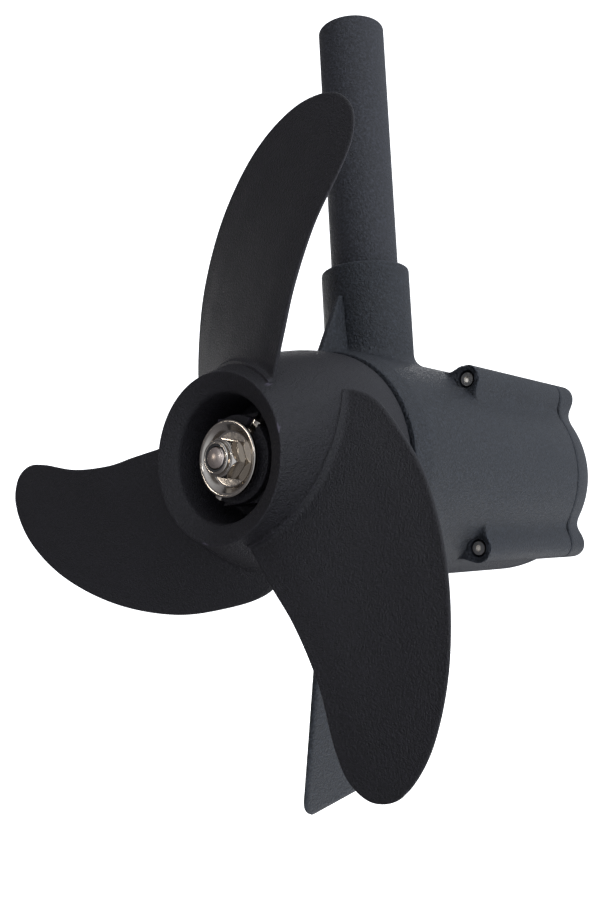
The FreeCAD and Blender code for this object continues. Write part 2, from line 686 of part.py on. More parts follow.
def magnet():
    """Arc magnet on the port side of the flux ring."""
    whole = ring(MAGNET_R, MAGNET_R - MAGNET_T, MAGNET_REAR, MAGNET_FRONT)
    half = math.radians(MAGNET_ARC / 2)
    reach = 60.0
    corners = [V(MAGNET_REAR - 1, 0, 0),
               V(MAGNET_REAR - 1, reach * math.cos(half), reach * math.sin(half)),
               V(MAGNET_REAR - 1, reach * 2, 0),
               V(MAGNET_REAR - 1, reach * math.cos(half), -reach * math.sin(half)),
               V(MAGNET_REAR - 1, 0, 0)]
    wedge = Part.Face(Part.makePolygon(corners)).extrude(V(MAGNET_FRONT - MAGNET_REAR + 2, 0, 0))
    return whole.common(wedge)


def brush_plate():
    """Insulating disc that carries the brush holders around the commutator."""
    outer = POD_R - POD_WALL - 0.1
    plate = ring(outer, COMM_R + 3, STEP_X, STEP_X + PLATE_T)
    holes = [rod(RIVET_R + SLIP, STEP_X - 1, STEP_X + PLATE_T + 1, y, z) for y, z in rivet_places()]
    window = post(WINDOW_R, 33, 60)
    return plate.cut(holes + [window])


def rivet_places():
    return [(side * RIVET_Y, z) for side in (1, -1) for z in (-RIVET_Z, RIVET_Z)]


def brush_holder():
    """Brass box that guides the port brush, with feet riveted to the brush plate."""
    wall = 1.0
    gap = 0.1
    half = BRUSH_SIDE / 2 + gap
    x0 = BRUSH_X - half
    x1 = BRUSH_X + half
    box = block(x0 - wall, x1 + wall, COMM_R + 3, HOLDER_OUT, -half - wall, half + wall)
    channel = block(x0, x1, COMM_R + 2, HOLDER_OUT - wall, -half, half)
    seat = STEP_X + PLATE_T
    side = RIVET_HEAD_R + 0.4
    foot = block(seat, seat + FOOT_T, RIVET_Y - side, RIVET_Y + side, -RIVET_Z - side, RIVET_Z + side)
    leg = block(seat, x0, RIVET_Y - side, RIVET_Y + side, -half, half)
    holes = [rod(RIVET_R + SLIP, seat - 1, seat + 2, RIVET_Y, z) for z in (-RIVET_Z, RIVET_Z)]
    return fuse_all([box, foot, leg]).cut([channel] + holes)


def brush():
    """Carbon block whose end is hollowed to the commutator's radius."""
    half = BRUSH_SIDE / 2
    carbon = block(BRUSH_X - half, BRUSH_X + half, COMM_R - 2, BRUSH_OUT, -half, half)
    return carbon.cut(rod(COMM_R + 0.1, COMM_REAR, COMM_FRONT))


def brush_spring():
    """Coil spring between the brush and the end of its holder."""
    wire = 0.45
    free = HOLDER_OUT - 1.0 - BRUSH_OUT
    coil = Part.makeHelix(1.6, free - 2 * wire - 0.1, 2.8)
    section = Part.Wire(Part.makeCircle(wire, V(2.8, 0, 0), V(0, 1, 0)))
    spring = Part.Wire(coil.Edges).makePipeShell([section], True, True)
    spring.rotate(ORIGIN, X_AXIS, -90)
    spring.translate(V(BRUSH_X, BRUSH_OUT + wire + 0.05, 0))
    return spring


def brush_rivets():
    """Rivets through the feet of the holders and the brush plate."""
    rear = STEP_X - 1.0
    front = STEP_X + PLATE_T + FOOT_T
    rivets = []
    for y, z in rivet_places():
        shank = rod(RIVET_R, rear, front + RIVET_HEAD, y, z)
        rear_head = rod(RIVET_HEAD_R, rear, STEP_X, y, z)
        front_head = rod(RIVET_HEAD_R, front, front + RIVET_HEAD, y, z)
        rivets.append(shank.fuse(rear_head).fuse(front_head))
    return Part.makeCompound(rivets)


def terminal():
    """Crimp barrel and tab that carry the port lead's current to the holder's lower rivet."""
    barrel = post(LEAD_R + 1.1, -2.0, 8.0, LEAD_X, LEAD_START_Y).cut(
        post(LEAD_R + SLIP, 0.0, 9.0, LEAD_X, LEAD_START_Y))
    tab = block(LEAD_X - 3, STEP_X - 1.1, 23.5, 26.5, -6.0, -2.0)
    return barrel.fuse(tab).fuse(block(STEP_X - 2.1, STEP_X - 1.0, 23.5, 33.5, -10.6, -2.0))


def lead(side):
    """Insulated lead from its terminal up through the mast, straight runs joined by arcs."""
    start = V(LEAD_X, side * LEAD_START_Y, 0.1)
    route = [start, V(LEAD_X, side * LEAD_START_Y, 18.0), V(LEAD_X, side * LEAD_Y, 35.0),
             V(LEAD_X, side * LEAD_Y, MAST_TOP - 24.0)]
    radii = [14.0, 12.0]
    edges = []
    here = route[0]
    for i, radius in enumerate(radii):
        corner = route[i + 1]
        back = (route[i] - corner).normalize()
        ahead = (route[i + 2] - corner).normalize()
        half_turn = (math.pi - back.getAngle(ahead)) / 2
        reach = radius * math.tan(half_turn)
        a = corner + back * reach
        b = corner + ahead * reach
        bulge = (back + ahead).normalize()
        mid = corner + bulge * (radius / math.cos(half_turn) - radius)
        edges.append(Part.LineSegment(here, a).toShape())
        edges.append(Part.Arc(a, mid, b).toShape())
        here = b
    edges.append(Part.LineSegment(here, route[-1]).toShape())
    section = Part.Wire(Part.makeCircle(LEAD_R, start, Z_AXIS))
    return Part.Wire(edges).makePipeShell([section], True, True)


def lead_connectors():
    """Crimped sleeves in which the leads end, ready for those of the control head."""
    foot = MAST_TOP - 34.0
    top = foot + 26.0
    sleeves = []
    for side in (1, -1):
        sleeve = post(LEAD_R + 1.2, foot, top, LEAD_X, side * LEAD_Y)
        sleeve = sleeve.cut(post(LEAD_R + SLIP, foot - 1, top + 1, LEAD_X, side * LEAD_Y))
        sleeves.append(sleeve)
    return Part.makeCompound(sleeves)


def lead_grommet():
    """Rubber plug that holds both leads in the hole between the pod and the mast."""
    foot = 41.5
    top = SPIGOT_FOOT - 0.1
    holes = [post(LEAD_R + SLIP, foot - 1, top + 1, LEAD_X, side * LEAD_Y) for side in (1, -1)]
    return post(LEAD_HOLE_R - 0.1, foot, top).cut(holes)


def build():
    os.makedirs("parts", exist_ok=True)
    rear_outer, rear_balls, rear_inner = bearing(REAR_BEARING)
    front_outer, front_balls, front_inner = bearing(FRONT_BEARING)
    nodes = {
        "mast_tube": mast_tube(),
        "mast_seal_ring": mast_seal_ring(),
        "motor_housing": motor_housing(),
        "nose_cap": nose_cap(),
        "nose_seal_ring": nose_seal_ring(),
        "housing_screws": housing_screws(),
        "rear_bearing_outer": rear_outer,
        "rear_bearing_balls": rear_balls,
        "rear_bearing_inner": rear_inner,
        "front_bearing_outer": front_outer,
        "front_bearing_balls": front_balls,
        "front_bearing_inner": front_inner,
        "bearing_preload_washer": preload_washer(),
        "shaft_seal": shaft_seal(),
        "retaining_ring": retaining_ring(),
        "motor_shaft": motor_shaft(),
        "armature_core": armature_core(),
        "armature_windings": armature_windings(),
        "commutator": commutator(),
        "propeller": propeller(),
        "drive_pin": drive_pin(),
        "prop_washer": prop_washer(),
        "prop_nut": prop_nut(),
        "nut_insert": nut_insert(),
        "flux_ring": flux_ring(),
        "magnet_port": magnet(),
        "magnet_starboard": mirrored(magnet()),
        "brush_plate": brush_plate(),
        "brush_holder_port": brush_holder(),
        "brush_holder_starboard": mirrored(brush_holder()),
        "brush_port": brush(),
        "brush_starboard": mirrored(brush()),
        "brush_spring_port": brush_spring(),
        "brush_spring_starboard": mirrored(brush_spring()),
        "brush_rivets": brush_rivets(),
        "terminal_positive": terminal(),
        "terminal_negative": mirrored(terminal()),
        "lead_positive": lead(1),
        "lead_negative": lead(-1),
        "lead_connectors": lead_connectors(),
        "lead_grommet": lead_grommet(),
    }
    for name, shape in nodes.items():
        save(name, shape)


build()
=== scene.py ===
"""Looks of the lower unit of an electric trolling motor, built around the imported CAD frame.

The shape functions work in millimetres about the motor: the propeller axis is the X axis, +X points
to the nose, +Y to port and +Z up the mast.  to_row() turns such points into metres in the row frame.
A field is a signed distance, negative inside the piece, and surface_net() turns it into a mesh.
"""
import bmesh
import bpy
import json
import math
import numpy as np
from mathutils import Matrix, Vector


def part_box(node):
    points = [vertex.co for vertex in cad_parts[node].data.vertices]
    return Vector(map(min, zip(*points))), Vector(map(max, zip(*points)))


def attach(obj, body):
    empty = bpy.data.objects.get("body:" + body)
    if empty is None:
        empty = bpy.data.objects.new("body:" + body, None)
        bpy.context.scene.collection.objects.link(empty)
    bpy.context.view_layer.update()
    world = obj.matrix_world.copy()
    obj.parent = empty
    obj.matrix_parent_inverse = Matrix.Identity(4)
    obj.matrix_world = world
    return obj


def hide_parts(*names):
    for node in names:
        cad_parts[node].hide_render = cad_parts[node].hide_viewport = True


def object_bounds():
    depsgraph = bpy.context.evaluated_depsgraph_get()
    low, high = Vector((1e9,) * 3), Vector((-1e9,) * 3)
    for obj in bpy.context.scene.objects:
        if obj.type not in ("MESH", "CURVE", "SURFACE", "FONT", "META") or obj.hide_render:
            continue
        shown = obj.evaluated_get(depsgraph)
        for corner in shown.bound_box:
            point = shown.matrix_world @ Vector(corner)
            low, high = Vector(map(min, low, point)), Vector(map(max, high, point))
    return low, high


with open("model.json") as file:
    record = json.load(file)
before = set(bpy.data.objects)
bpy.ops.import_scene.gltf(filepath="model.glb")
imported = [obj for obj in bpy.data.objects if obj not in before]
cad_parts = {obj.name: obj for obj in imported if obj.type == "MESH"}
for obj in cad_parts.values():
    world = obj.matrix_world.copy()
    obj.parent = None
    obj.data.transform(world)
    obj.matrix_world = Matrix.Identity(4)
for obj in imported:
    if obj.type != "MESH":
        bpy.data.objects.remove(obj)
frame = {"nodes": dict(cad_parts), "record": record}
cad_low, cad_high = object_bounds()

MM = 0.001
shaft_low, shaft_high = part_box("motor_shaft")
AXIS_Z = (shaft_low.z + shaft_high.z) / 2

# Pod
POD_R = 45.0
POD_REAR = -36.0
POD_REAR_R = 43.8             # radius of the rear face, from which the pod swells to POD_R
POD_TAPER = 9.0
SEAM_X = 95.0
NOSE_LENGTH = 48.0
LOBE_Y = 33.0
LOBE_Z = 34.6
LOBE_R = 6.0
LOBE_REAR = 20.0
LOBE_END = 107.5
COUNTERBORE_R = 3.7
COUNTERBORE_DEPTH = 4.2
SCREW_HOLE_R = 1.65
WALL = 4.0                    # thickness of the pod's and the nose cap's walls
REGISTER_REAR = 88.0          # rear end of the nose cap's register inside the pod
REGISTER_R = 40.95
REGISTER_BORE_R = 37.5
CUP_R = 17.0                  # cup of the front bearing inside the nose cap
CUP_FRONT = 113.0
FRONT_SEAT = (99.0, 109.4, 13.02)         # rear and front end and radius of the front bearing's seat
REAR_SEAT = (-24.0, -16.0, 14.02)
SEAL_SEAT = (-28.5, 11.02)
COLLAR_R = 18.4
COLLAR_TOP = 83.0
SPIGOT_R = 13.2               # turned-down foot of the mast inside the collar
SPIGOT_FOOT = 48.0
SOCKET_R = 13.25              # socket for the spigot inside the collar
GROOVE_FOOT = 75.0
GROOVE_TOP = 77.4
LEAD_HOLE_R = 9.0
MAST_R = 14.0
MAST_BORE_R = 11.0
MAST_TOP = -AXIS_Z / MM

# Propeller
HUB_FRONT = -37.6
HUB_REAR = -92.15
HUB_R = 42.8
HUB_WALL = 4.0
RECESS_R = 22.0
RECESS_FLOOR = -66.0
WEB_FRONT = -62.0
CORE_R = 25.6
CORE_REAR = -81.0
BOSS_R = 15.5
BOSS_FACE = -82.8
BOSS_FLAT_Y = 10.5
BOSS_FLAT_Z = 15.4
BOSS_FLAT_REAR = BOSS_FACE + 3.0
SHAFT_BORE_R = 5.05
SLEEVE_FRONT = -40.1          # front end of the sleeve that carries the hub on the shaft
SLEEVE_R = 12.5
RIB_T = 3.0                   # thickness of the ribs inside the hub and the nose cap
PIN_R = 2.4
PIN_X = BOSS_FACE + PIN_R + 0.2
PIN_TILT = 39.0               # turn of the drive pin from upright, top to starboard
PIN_SLOT_REACH = 18.5
BLADES = 3
ROOT_DEPTH = 2.2              # how far a blade's root reaches into the hub's wall
# One blade's outline as (radius, degrees up from starboard), from the trailing root round the tip.
BLADE_OUTLINE = [(28.0, -76.0), (47.0, -67.0), (63.0, -63.5), (83.0, -63.0), (102.0, -64.6),
                 (113.0, -64.3), (121.0, -61.6), (123.4, -56.5), (117.7, -48.7), (105.0, -38.6),
                 (88.0, -25.8), (71.0, -10.7), (56.4, 5.5), (46.5, 21.5), (36.0, 36.5)]
BLADE_TIP = 7                 # which of those points is the tip

# Shaft, washer and nut
SHAFT_R = 6.0
SHAFT_TAIL_R = 5.0
SHAFT_SHOULDER = -40.0
SHAFT_FRONT = 108.0
CLIP_GROOVE = (-16.0, -14.8)
THREAD_R = 4.0
THREAD_PITCH = 1.25
THREAD_TOP = -84.4
SHAFT_END = -93.3
WASHER_R = 13.5
WASHER_FRONT = BOSS_FACE - 0.05
WASHER_FLOOR = -84.35
WASHER_FLOOR_R = 9.6
WASHER_RIM = -87.0
NUT_AF = 13.0
NUT_FRONT = -84.42
NUT_REAR = -90.6
NUT_END = -92.4
NUT_COLLAR_R = 5.9
NUT_TURN = -15.0              # turn of the nut's corners from upright


# ---------------------------------------------------------------- fields and meshes

def smooth_min(a, b, k):
    h = np.clip(0.5 + 0.5 * (b - a) / k, 0.0, 1.0)
    return b + (a - b) * h - k * h * (1.0 - h)


def smooth_max(a, b, k):
    return -smooth_min(-a, -b, k)


def smooth_step(t):
    t = np.clip(t, 0.0, 1.0)
    return t * t * (3.0 - 2.0 * t)


def surface_net(field, low, high, step):
    """Points and quads of the surface where the field is zero, settled onto the exact surface."""
    axes = [np.arange(a, b + step, step, dtype=np.float32) for a, b in zip(low, high)]
    grid = np.meshgrid(*axes, indexing="ij", sparse=True)
    values = np.broadcast_to(field(*grid), [len(a) for a in axes])
    inside = values < 0
    cells, crossings, quads = [], [], []
    for d in range(3):
        first = [slice(None)] * 3
        second = [slice(None)] * 3
        first[d] = slice(None, -1)
        second[d] = slice(1, None)
        starts = np.argwhere(inside[tuple(first)] != inside[tuple(second)])
        ends = starts.copy()
        ends[:, d] += 1
        v0 = values[tuple(starts.T)]
        v1 = values[tuple(ends.T)]
        crossing = starts.astype(float)
        crossing[:, d] += v0 / (v0 - v1)
        corners = []
        for back_a, back_b in ((1, 1), (0, 1), (0, 0), (1, 0)):
            cell = starts.copy()
            cell[:, (d + 1) % 3] -= back_a
            cell[:, (d + 2) % 3] -= back_b
            corners.append(np.ravel_multi_index(cell.T, values.shape))
        quad = np.stack(corners, 1)
        flip = v0 > 0
        quad[flip] = quad[flip][:, ::-1]
        quads.append(quad)
        cells.append(quad.ravel())
        crossings.append(np.repeat(crossing, 4, axis=0))
    place = np.unique(np.concatenate(cells), return_inverse=True)[1]
    crossings = np.concatenate(crossings)
    count = np.bincount(place)
    points = np.stack([np.bincount(place, crossings[:, i]) / count for i in range(3)], 1)
    points = points * step + np.array(low)
    quads = place.reshape(-1, 4)
    return relaxed(settled(points, field, step), quads, field, step), quads


def relaxed(points, quads, field, step, rounds=3):
    """The points spread evenly over the surface, so that thin edges come out clean."""
    first = quads.ravel()
    second = np.roll(quads, -1, axis=1).ravel()
    ends, others = np.concatenate([first, second]), np.concatenate([second, first])
    count = np.bincount(ends)
    for _ in range(rounds):
        middle = np.stack([np.bincount(ends, points[others, i]) / count for i in range(3)], 1)
        points = settled(points + 0.6 * (middle - points), field, step, 2)
    return points


def settled(points, field, step, rounds=4):
    """The points moved along the field's slope until they lie on its surface."""
    h = 0.15 * step
    for _ in range(rounds):
        x, y, z = points.T
        here = field(x, y, z)
        slope = np.stack([field(x + h, y, z) - field(x - h, y, z),
                          field(x, y + h, z) - field(x, y - h, z),
                          field(x, y, z + h) - field(x, y, z - h)], 1) / (2 * h)
        steep = np.maximum((slope ** 2).sum(1), 0.1)
        move = slope * (here / steep)[:, None]
        length = np.linalg.norm(move, axis=1)
        points = points - move * np.minimum(1.0, 0.4 * step / np.maximum(length, 1e-9))[:, None]
    return points


def to_row(points):
    """Points in millimetres about the motor as metres in the row frame."""
    return np.asarray(points, float) * MM + np.array([0.0, 0.0, AXIS_Z])


def new_object(name, points, faces):
    mesh = bpy.data.meshes.new(name)
    mesh.from_pydata(to_row(points).tolist(), [], [list(map(int, f)) for f in faces])
    mesh.validate()
    mesh.update()
    ob = bpy.data.objects.new(name, mesh)
    bpy.context.scene.collection.objects.link(ob)
    return ob


def lathe(profile, segments=128, axis="x", closed=True):
    """Points and faces of an outline of (along, radius) turned about the X or Z axis.

    A point of the outline on the axis becomes a single point, so that the piece closes there.
    """
    angles = np.linspace(0, 2 * math.pi, segments, endpoint=False)
    points, rings = [], []
    for along, radius in profile:
        turns = angles if radius > 1e-6 else angles[:1]
        rings.append(len(points) + np.arange(segments) % len(turns))
        for a in turns:
            across, up = radius * math.cos(a), radius * math.sin(a)
            points.append((along, across, up) if axis == "x" else (across, up, along))
    faces = []
    for first, second in zip(rings, rings[1:] + rings[:1] if closed else rings[1:]):
        for j in range(segments):
            k = (j + 1) % segments
            corners = tuple(dict.fromkeys((first[j], first[k], second[k], second[j])))
            if len(corners) > 2:
                faces.append(corners)
    return np.array(points), faces


def box_shape(x0, x1, y0, y1, z0, z1, turn=0.0):
    """Points and faces of a block, turned about the X axis by some degrees."""
    points = np.array([(x, y, z) for x in (x0, x1) for y in (y0, y1) for z in (z0, z1)], float)
    a = math.radians(turn)
    y, z = points[:, 1].copy(), points[:, 2].copy()
    points[:, 1] = y * math.cos(a) - z * math.sin(a)
    points[:, 2] = y * math.sin(a) + z * math.cos(a)
    faces = [(0, 1, 3, 2), (4, 6, 7, 5), (0, 4, 5, 1), (2, 3, 7, 6), (0, 2, 6, 4), (1, 5, 7, 3)]
    return points, faces


def rounded(profile, radius, steps=4):
    """A closed outline with its corners rounded; a corner may carry its own radius third."""
    result = []
    n = len(profile)
    for i, corner in enumerate(profile):
        p = np.array(corner[:2], float)
        r = corner[2] if len(corner) > 2 else radius
        if r == 0:
            result.append(p)
            continue
        back = np.array(profile[i - 1][:2], float) - p
        ahead = np.array(profile[(i + 1) % n][:2], float) - p
        reach = min(r, 0.45 * np.linalg.norm(back), 0.45 * np.linalg.norm(ahead))
        a = p + back / np.linalg.norm(back) * reach
        b = p + ahead / np.linalg.norm(ahead) * reach
        for k in range(steps + 1):
            t = k / steps
            result.append((1 - t) ** 2 * a + 2 * t * (1 - t) * p + t * t * b)
    return result


def outward(ob):
    """Turn every face to the outside."""
    work = bmesh.new()
    work.from_mesh(ob.data)
    bmesh.ops.recalc_face_normals(work, faces=work.faces)
    work.to_mesh(ob.data)
    work.free()
    return ob


def combine(ob, others, operation):
    """Add the other objects to this one, or cut them out of it, and remove them."""
    for other in others:
        outward(other)
        modifier = ob.modifiers.new("combine", "BOOLEAN")
        modifier.operation = operation
        modifier.solver = "MANIFOLD"
        modifier.object = other
    apply_modifiers(ob)
    for other in others:
        bpy.data.objects.remove(other)


def apply_modifiers(ob):
    graph = bpy.context.evaluated_depsgraph_get()
    mesh = bpy.data.meshes.new_from_object(ob.evaluated_get(graph))
    ob.modifiers.clear()
    ob.data = mesh


def joined(ob, others):
    with bpy.context.temp_override(active_object=ob, selected_editable_objects=[ob] + others):
        bpy.ops.object.join()
    return ob


def finish_piece(ob, body, nodes, material, crease=34.0):
    """Shade the piece, give it its material and body, and let it stand for its CAD nodes."""
    mesh = ob.data
    mesh.polygons.foreach_set("use_smooth", [True] * len(mesh.polygons))
    mesh.set_sharp_from_angle(angle=math.radians(crease))
    mesh.materials.clear()
    mesh.materials.append(material)
    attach(ob, body)
    if nodes:
        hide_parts(*nodes)
    return ob


# ---------------------------------------------------------------- materials

class Shader:
    """A material with one Principled shader and short calls for adding nodes to it."""

    def __init__(self, name, color, roughness, metallic=0.0):
        self.material = bpy.data.materials.new(name)
        self.material.use_nodes = True
        self.tree = self.material.node_tree
        self.main = self.tree.nodes["Principled BSDF"]
        self.main.inputs["Base Color"].default_value = (*color, 1.0)
        self.main.inputs["Roughness"].default_value = roughness
        self.main.inputs["Metallic"].default_value = metallic
        self.place = self.node("ShaderNodeTexCoord").outputs["Object"]

    def node(self, kind, **values):
        node = self.tree.nodes.new(kind)
        for name, value in values.items():
            setattr(node, name, value)
        return node

    def link(self, source, target):
        self.tree.links.new(source, target)

    def noise(self, scale, detail=3.0, roughness=0.5, stretch=None):
        source = self.place
        if stretch:
            mapping = self.node("ShaderNodeMapping")
            mapping.inputs["Scale"].default_value = stretch
            self.link(source, mapping.inputs["Vector"])
            source = mapping.outputs["Vector"]
        node = self.node("ShaderNodeTexNoise")
        node.inputs["Scale"].default_value = scale
        node.inputs["Detail"].default_value = detail
        node.inputs["Roughness"].default_value = roughness
        self.link(source, node.inputs["Vector"])
        return node.outputs["Fac"]

    def spread(self, source, low, high, to_low, to_high):
        """Map a value from one range to another."""
        node = self.node("ShaderNodeMapRange")
        for name, value in (("From Min", low), ("From Max", high), ("To Min", to_low), ("To Max", to_high)):
            node.inputs[name].default_value = value
        self.link(source, node.inputs["Value"])
        return node.outputs["Result"]

    def mix(self, factor, a, b):
        """Mix two colours; each is a colour or another node's output."""
        node = self.node("ShaderNodeMix", data_type="RGBA")
        self.link(factor, node.inputs["Factor"])
        for socket, value in ((node.inputs[6], a), (node.inputs[7], b)):
            if isinstance(value, tuple):
                socket.default_value = (*value, 1.0)
            else:
                self.link(value, socket)
        return node.outputs[2]

    def add(self, a, b):
        node = self.node("ShaderNodeMath", operation="ADD")
        self.link(a, node.inputs[0])
        self.link(b, node.inputs[1])
        return node.outputs[0]

    def bump(self, height, strength, distance):
        node = self.node("ShaderNodeBump")
        node.inputs["Strength"].default_value = strength
        node.inputs["Distance"].default_value = distance
        self.link(height, node.inputs["Height"])
        self.link(node.outputs["Normal"], self.main.inputs["Normal"])

    def color(self, source):
        self.link(source, self.main.inputs["Base Color"])

    def rough(self, source):
        self.link(source, self.main.inputs["Roughness"])


def scaled(color, factor):
    return tuple(c * factor for c in color)


def grained(name, color, roughness, grain_mm, strength, edge_wear_and_highlight=1.7, specular=0.5):
    """Painted or moulded surface with an even grain of fine pits, slight mottling, and sharp edges
    lightened partly as rubbed wear and partly as a painted highlight.
    """
    s = Shader(name, color, roughness)
    s.main.inputs["Specular IOR Level"].default_value = specular
    mottle = s.noise(38.0, 4.0, 0.6)
    tone = s.mix(s.spread(mottle, 0.3, 0.7, 0.0, 1.0), scaled(color, 0.85), scaled(color, 1.15))
    pits = s.noise(1000.0 / grain_mm, 2.0, 0.6)
    tone = s.mix(s.spread(pits, 0.52, 0.68, 0.0, 0.8), tone, scaled(color, 2.2))
    tone = s.mix(s.spread(pits, 0.50, 0.34, 0.0, 0.8), tone, scaled(color, 0.3))
    # Pointiness lightens sharp edges: partly rubbed wear, partly a painted edge highlight.
    edge = s.spread(s.node("ShaderNodeNewGeometry").outputs["Pointiness"], 0.53, 0.60, 0.0, 0.7)
    s.color(s.mix(edge, tone, scaled(color, edge_wear_and_highlight)))
    s.rough(s.spread(s.add(mottle, pits), 0.7, 1.3, roughness - 0.08, roughness + 0.10))
    s.bump(s.add(pits, s.noise(1600.0 / grain_mm, 2.0, 0.6)), strength, 0.0006)
    return s.material


def steel(name, color, roughness, stretch=(1.0, 1.0, 1.0), scale=900.0, strength=0.12):
    """Bright steel with fine machining marks and faint stains."""
    s = Shader(name, color, roughness, metallic=1.0)
    stain = s.noise(60.0, 3.0, 0.5)
    s.color(s.mix(s.spread(stain, 0.35, 0.7, 0.0, 1.0), color, scaled(color, 0.85)))
    marks = s.noise(scale, 2.0, 0.5, stretch)
    s.rough(s.spread(s.add(stain, marks), 0.7, 1.3, max(0.04, roughness - 0.06), roughness + 0.12))
    s.bump(marks, strength, 0.00003)
    return s.material


def plain_textured(name, color, roughness, metallic, scale, strength, shade=0.8):
    """Inner pieces: a colour with fine noise in tone, gloss and height."""
    s = Shader(name, color, roughness, metallic)
    fine = s.noise(scale, 4.0, 0.6)
    s.color(s.mix(s.spread(fine, 0.3, 0.7, 0.0, 1.0), color, scaled(color, shade)))
    s.rough(s.spread(fine, 0.3, 0.7, max(0.05, roughness - 0.08), min(1.0, roughness + 0.08)))
    s.bump(fine, strength, 0.00005)
    return s.material


MATERIALS = {
    # The edge factor lightens sharp edges as rubbed wear plus a painted edge highlight; it is strongest on
    # the propeller's lip.
    "housing_paint": grained("housing_paint", (0.020, 0.0225, 0.0275), 0.48, 1.0, 0.8,
                             edge_wear_and_highlight=4.0, specular=0.42),
    "propeller_plastic": grained("propeller_plastic", (0.0080, 0.0068, 0.0095), 0.50, 0.75, 0.8,
                                 edge_wear_and_highlight=12.0, specular=0.56),
    "mast_composite": grained("mast_composite", (0.022, 0.023, 0.029), 0.50, 1.0, 0.7, specular=0.46),
    "stainless_polished": steel("stainless_polished", (0.58, 0.53, 0.47), 0.08, strength=0.03),
    "stainless_screw": steel("stainless_screw", (0.88, 0.84, 0.78), 0.30),
    "stainless_shaft": steel("stainless_shaft", (0.78, 0.67, 0.60), 0.28, strength=0.05),
    "insert_nylon": plain_textured("insert_nylon", (0.03, 0.03, 0.032), 0.50, 0.0, 900.0, 0.1),
    "seal_rubber": plain_textured("seal_rubber", (0.016, 0.016, 0.017), 0.62, 0.0, 1400.0, 0.3),
    "bearing_steel": steel("bearing_steel", (0.62, 0.62, 0.62), 0.14),
    "spring_steel": steel("spring_steel", (0.42, 0.42, 0.43), 0.28),
    "lamination_steel": plain_textured("lamination_steel", (0.30, 0.30, 0.31), 0.42, 1.0, 700.0, 0.3),
    "winding_copper": plain_textured("winding_copper", (0.52, 0.20, 0.08), 0.32, 0.9, 1100.0, 0.5),
    "commutator_copper": plain_textured("commutator_copper", (0.62, 0.29, 0.16), 0.30, 1.0, 900.0, 0.2),
    "flux_steel": plain_textured("flux_steel", (0.44, 0.44, 0.46), 0.36, 1.0, 300.0, 0.2),
    "magnet_ferrite": plain_textured("magnet_ferrite", (0.05, 0.05, 0.055), 0.66, 0.0, 900.0, 0.4),
    "plate_laminate": plain_textured("plate_laminate", (0.24, 0.12, 0.05), 0.52, 0.0, 500.0, 0.3),
    "holder_brass": plain_textured("holder_brass", (0.66, 0.46, 0.18), 0.30, 1.0, 500.0, 0.2),
    "brush_carbon": plain_textured("brush_carbon", (0.05, 0.05, 0.05), 0.60, 0.0, 1500.0, 0.4),
    "terminal_tin": plain_textured("terminal_tin", (0.58, 0.58, 0.58), 0.32, 1.0, 600.0, 0.2),
    "lead_red": plain_textured("lead_red", (0.42, 0.02, 0.015), 0.42, 0.0, 500.0, 0.15),
    "lead_black": plain_textured("lead_black", (0.018, 0.018, 0.018), 0.42, 0.0, 500.0, 0.15),
    "connector_blue": plain_textured("connector_blue", (0.03, 0.09, 0.34), 0.36, 0.0, 500.0, 0.15),
}


# ---------------------------------------------------------------- propeller

def hub_radius(x):
    """Radius of the hub's outer surface, which swells from the rear lip to its front edge."""
    t = np.clip((-42.0 - x) / 50.0, 0.0, 1.1)
    return HUB_R - 13.3 * t ** 1.75


def blade_height(r, theta):
    """Place of the blade's mid-surface along the shaft."""
    s = (r - 35.0) / 100.0
    u = theta + 0.6
    return -80.4 + 9.3 * s - 17.7 * s * s + (10.6 + 40.1 * s - 46.4 * s * s) * u + 3.1 * u * u


def smooth_curve(corners, per_span):
    """Points of a smooth curve through the corners."""
    p = np.array([corners[0], *corners, corners[-1]], float)
    points = []
    for i in range(1, len(p) - 2):
        a, b, c, d = p[i - 1:i + 3]
        for t in np.arange(per_span) / per_span:
            points.append(0.5 * (2 * b + (c - a) * t + (2 * a - 5 * b + 4 * c - d) * t ** 2
                                 + (3 * b - a - 3 * c + d) * t ** 3))
    points.append(p[-1])
    return np.array(points)


def along_curve(points, fractions):
    """Places at given fractions of a curve's length."""
    run = np.concatenate([[0.0], np.cumsum(np.linalg.norm(np.diff(points, axis=0), axis=1))])
    return np.stack([np.interp(fractions * run[-1], run, points[:, i]) for i in range(2)], 1)


def curve_distance(points, curve):
    """Distance from each point to an open line of points."""
    best = np.full(len(points), 1e9)
    for p, q in zip(curve, curve[1:]):
        e = q - p
        t = np.clip((points - p) @ e / (e @ e), 0.0, 1.0)
        best = np.minimum(best, np.linalg.norm(points - p - t[:, None] * e, axis=1))
    return best


def polygon_distance(a, b, polygon):
    """Signed distance to a closed polygon of two coordinates, negative inside."""
    best = np.full(np.broadcast(a, b).shape, 1e9)
    inside = np.zeros(best.shape, bool)
    for p, q in zip(polygon, np.roll(polygon, -1, axis=0)):
        e = q - p
        wa, wb = a - p[0], b - p[1]
        t = np.clip((wa * e[0] + wb * e[1]) / (e @ e), 0.0, 1.0)
        best = np.minimum(best, (wa - e[0] * t) ** 2 + (wb - e[1] * t) ** 2)
        if e[1] != 0.0:
            crosses = (p[1] > b) != (q[1] > b)
            inside ^= crosses & (a < (b - p[1]) * e[0] / e[1] + p[0])
    return np.where(inside, -1.0, 1.0) * np.sqrt(best)


